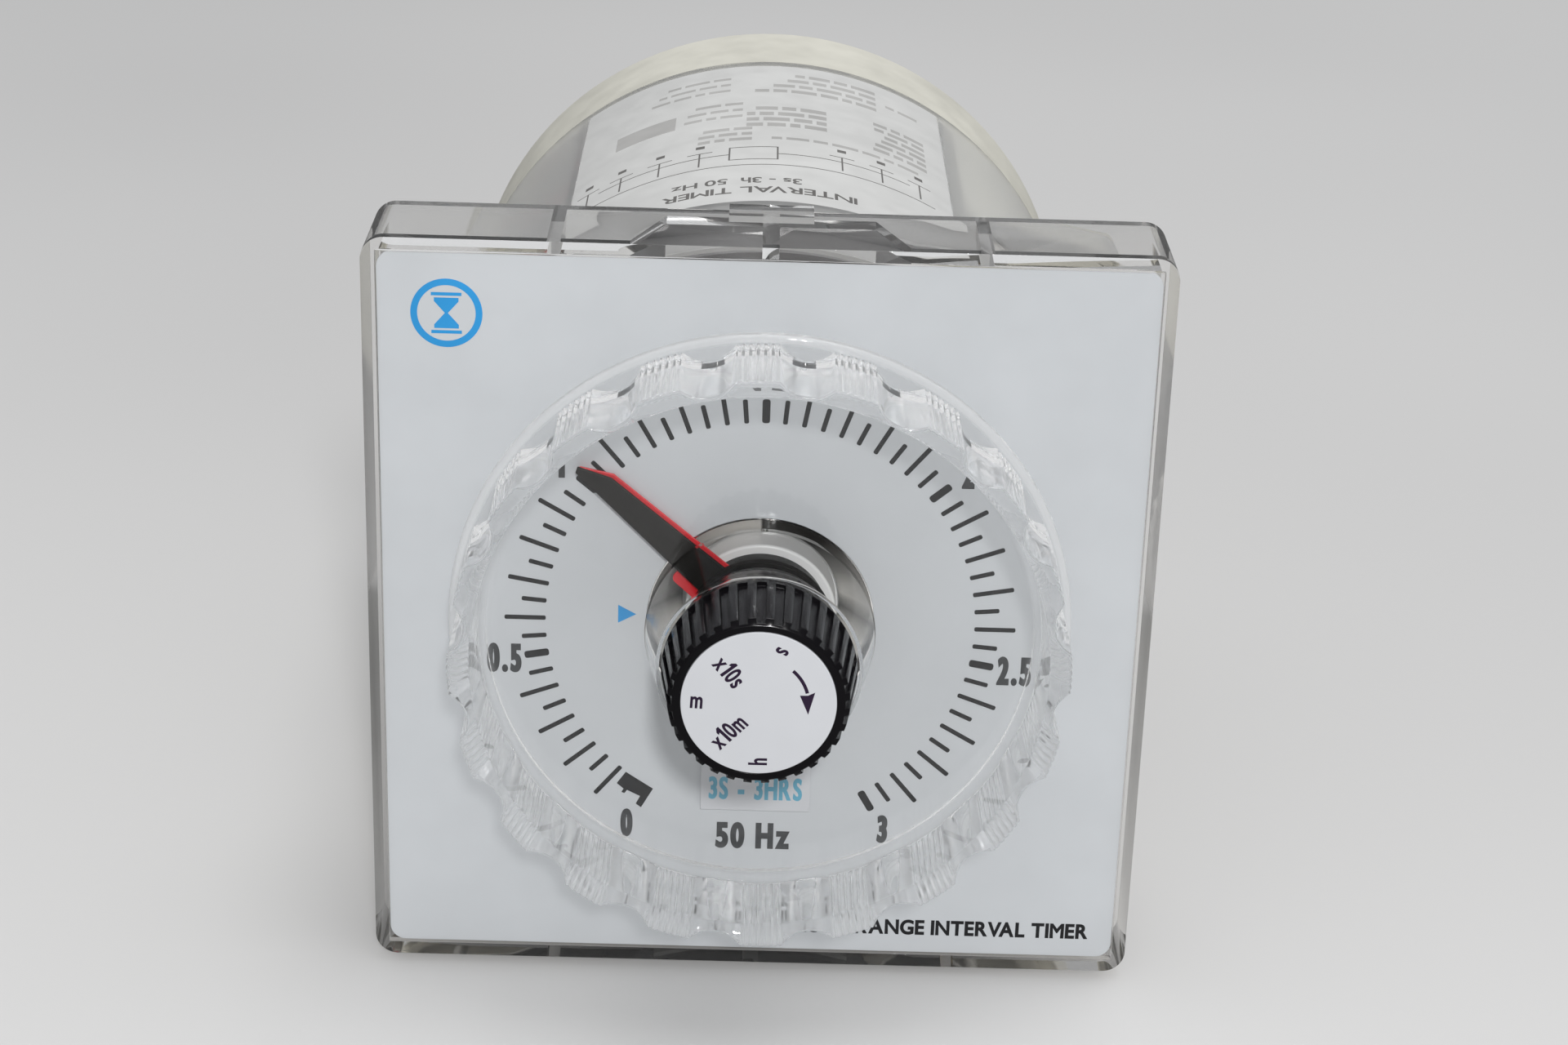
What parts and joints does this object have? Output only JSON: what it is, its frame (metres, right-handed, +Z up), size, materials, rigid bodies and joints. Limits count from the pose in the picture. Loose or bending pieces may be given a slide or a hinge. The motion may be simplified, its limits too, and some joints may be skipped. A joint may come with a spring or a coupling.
{
  "type": "panel timer",
  "caption": "Square panel-mounted electromechanical timer with a clear scalloped setting dial, ribbed range knob, red and black pointers and a round clear rear case.",
  "frame": {"origin": "centre of the bezel's rear face, which bears on the panel", "axes": "+Z up, +Y into the panel along the case axis, -Y out of the dial, +X right as seen from the front"},
  "size_m": [0.096, 0.1385, 0.0976],
  "materials": {
    "smoked_clear": "polished clear acrylic, faintly smoked",
    "clear_acrylic": "polished clear acrylic",
    "scale_paint": "satin light grey",
    "white_print": "satin",
    "polished_metal": "polished",
    "black_plastic": "matt",
    "black_gloss": "gloss",
    "red_plastic": "satin",
    "white_acetal": "satin",
    "steel": "satin",
    "brass": "satin",
    "grey_moulding": "matt",
    "cream_moulding": "satin",
    "label_paper": "matt",
    "copper_winding": "enamel",
    "lining": "matt",
    "red_wire": "satin",
    "blue_wire": "satin"
  },
  "bodies": {
    "housing": {"front_bezel": "smoked_clear", "scale_plate": "scale_paint", "range_plate": "white_print", "hub_funnel": "polished_metal", "movement_chassis": "grey_moulding", "front_plate": "steel", "rear_plate": "steel", "tube_bush": "brass", "spindle_bush": "brass", "pillars": "steel", "pillar_screws": "steel", "gear_studs": "steel", "coil_bobbin": "cream_moulding", "coil_winding": "copper_winding", "coil_core": "steel", "coil_yoke": "steel", "clutch_bracket": "steel", "clutch_spring": "steel", "timed_switch": "black_plastic", "instant_switch": "black_plastic", "switch_bracket": "steel", "switch_screws": "steel", "detent_spring": "steel", "motor_gearbox": "steel", "motor_can": "steel", "motor_screws": "steel", "case": "clear_acrylic", "rating_label": "label_paper", "rear_base": "cream_moulding", "tie_screws": "steel", "terminal_block": "cream_moulding", "terminal_clamps": "brass", "terminal_screws": "steel", "red_lead": "red_wire", "blue_lead": "blue_wire"},
    "dial": {"setting_dial": "clear_acrylic", "set_pointer": "black_plastic", "hub_cap": "black_gloss", "setting_tube": "steel"},
    "elapsed": {"elapsed_pointer": "red_plastic", "elapsed_drum": "white_acetal", "clutch_lining": "lining", "return_spring": "steel"},
    "range_selector": {"range_knob": "black_gloss", "range_cap": "white_print", "range_spindle": "steel", "spindle_clip": "steel", "range_cam": "white_acetal"},
    "motor_drive": {"motor_pinion": "brass"},
    "gear_1": {"train_gear_1": "white_acetal"},
    "gear_2": {"train_gear_2": "brass"},
    "gear_3": {"train_gear_3": "white_acetal"},
    "gear_4": {"train_gear_4": "brass"},
    "clutch_drive": {"clutch_wheel": "brass"},
    "clutch_armature": {"clutch_lever": "steel"},
    "instant_rod": {"push_rod": "white_acetal"},
    "instant_button": {"instant_plunger": "red_plastic"},
    "trip": {"trip_lever": "steel"},
    "timed_button": {"timed_plunger": "red_plastic"},
    "selector_arm": {"selector_lever": "brass"}
  },
  "joints": [
    {"name": "dial_turn", "type": "hinge", "parent": "housing", "child": "dial", "pos_m": [0, 0, 0], "axis": [0, 1, 0], "range_deg": [-100, 200]},
    {"name": "elapsed_turn", "type": "hinge", "parent": "dial", "child": "elapsed", "pos_m": [0, 0, 0], "axis": [0, 1, 0], "range_deg": [-100, 0], "stiffness_Nm_per_rad": 0.0004, "springref_deg": 34.38},
    {"name": "range_turn", "type": "hinge", "parent": "housing", "child": "range_selector", "pos_m": [0, 0, 0], "axis": [0, 1, 0], "continuous": true},
    {"name": "motor_turn", "type": "hinge", "parent": "housing", "child": "motor_drive", "pos_m": [-0.00893, 0, -0.02453], "axis": [0, 1, 0], "continuous": true},
    {"name": "gear_1_turn", "type": "hinge", "parent": "housing", "child": "gear_1", "pos_m": [0.00817, 0, -0.02479], "axis": [0, 1, 0], "continuous": true},
    {"name": "gear_2_turn", "type": "hinge", "parent": "housing", "child": "gear_2", "pos_m": [0.02176, 0, -0.01441], "axis": [0, 1, 0], "continuous": true},
    {"name": "gear_3_turn", "type": "hinge", "parent": "housing", "child": "gear_3", "pos_m": [0.02601, 0, 0.00215], "axis": [0, 1, 0], "continuous": true},
    {"name": "gear_4_turn", "type": "hinge", "parent": "housing", "child": "gear_4", "pos_m": [0.0191, 0, 0.01779], "axis": [0, 1, 0], "continuous": true},
    {"name": "clutch_wheel_turn", "type": "hinge", "parent": "housing", "child": "clutch_drive", "pos_m": [0, 0, 0], "axis": [0, 1, 0], "continuous": true},
    {"name": "armature_rock", "type": "hinge", "parent": "housing", "child": "clutch_armature", "pos_m": [-0.01559, 0.0027, 0.009], "axis": [-0.5, 0, -0.866], "range_deg": [0, 1.8]},
    {"name": "rod_travel", "type": "slide", "parent": "housing", "child": "instant_rod", "axis": [0, 1, 0], "range_m": [0, 0.000375], "stiffness_N_per_m": 30, "springref_m": -0.0005},
    {"name": "instant_button_travel", "type": "slide", "parent": "housing", "child": "instant_button", "axis": [0, 1, 0], "range_m": [0, 0.0004]},
    {"name": "trip_swing", "type": "hinge", "parent": "housing", "child": "trip", "pos_m": [-0.0059, 0, 0.03348], "axis": [0, 1, 0], "range_deg": [0, 3]},
    {"name": "timed_button_travel", "type": "slide", "parent": "housing", "child": "timed_button", "axis": [-0.342, 0, -0.9397], "range_m": [0, 0.0006], "stiffness_N_per_m": 30, "springref_m": -0.0005},
    {"name": "selector_rock", "type": "hinge", "parent": "housing", "child": "selector_arm", "pos_m": [-0.00845, 0, 0.01813], "axis": [0, 1, 0], "range_deg": [-6, 6]}
  ],
  "couplings": [
    {"joint": "gear_1_turn", "follows": "motor_turn", "ratio": -0.35714},
    {"joint": "gear_2_turn", "follows": "motor_turn", "ratio": 0.12755},
    {"joint": "gear_3_turn", "follows": "motor_turn", "ratio": -0.045554},
    {"joint": "gear_4_turn", "follows": "motor_turn", "ratio": 0.016269},
    {"joint": "clutch_wheel_turn", "follows": "motor_turn", "ratio": -0.0033894},
    {"joint": "armature_rock", "follows": "rod_travel", "rad_per_m": 83.333},
    {"joint": "instant_button_travel", "follows": "rod_travel", "ratio": 1},
    {"joint": "trip_swing", "follows": "timed_button_travel", "rad_per_m": 83.333}
  ]
}
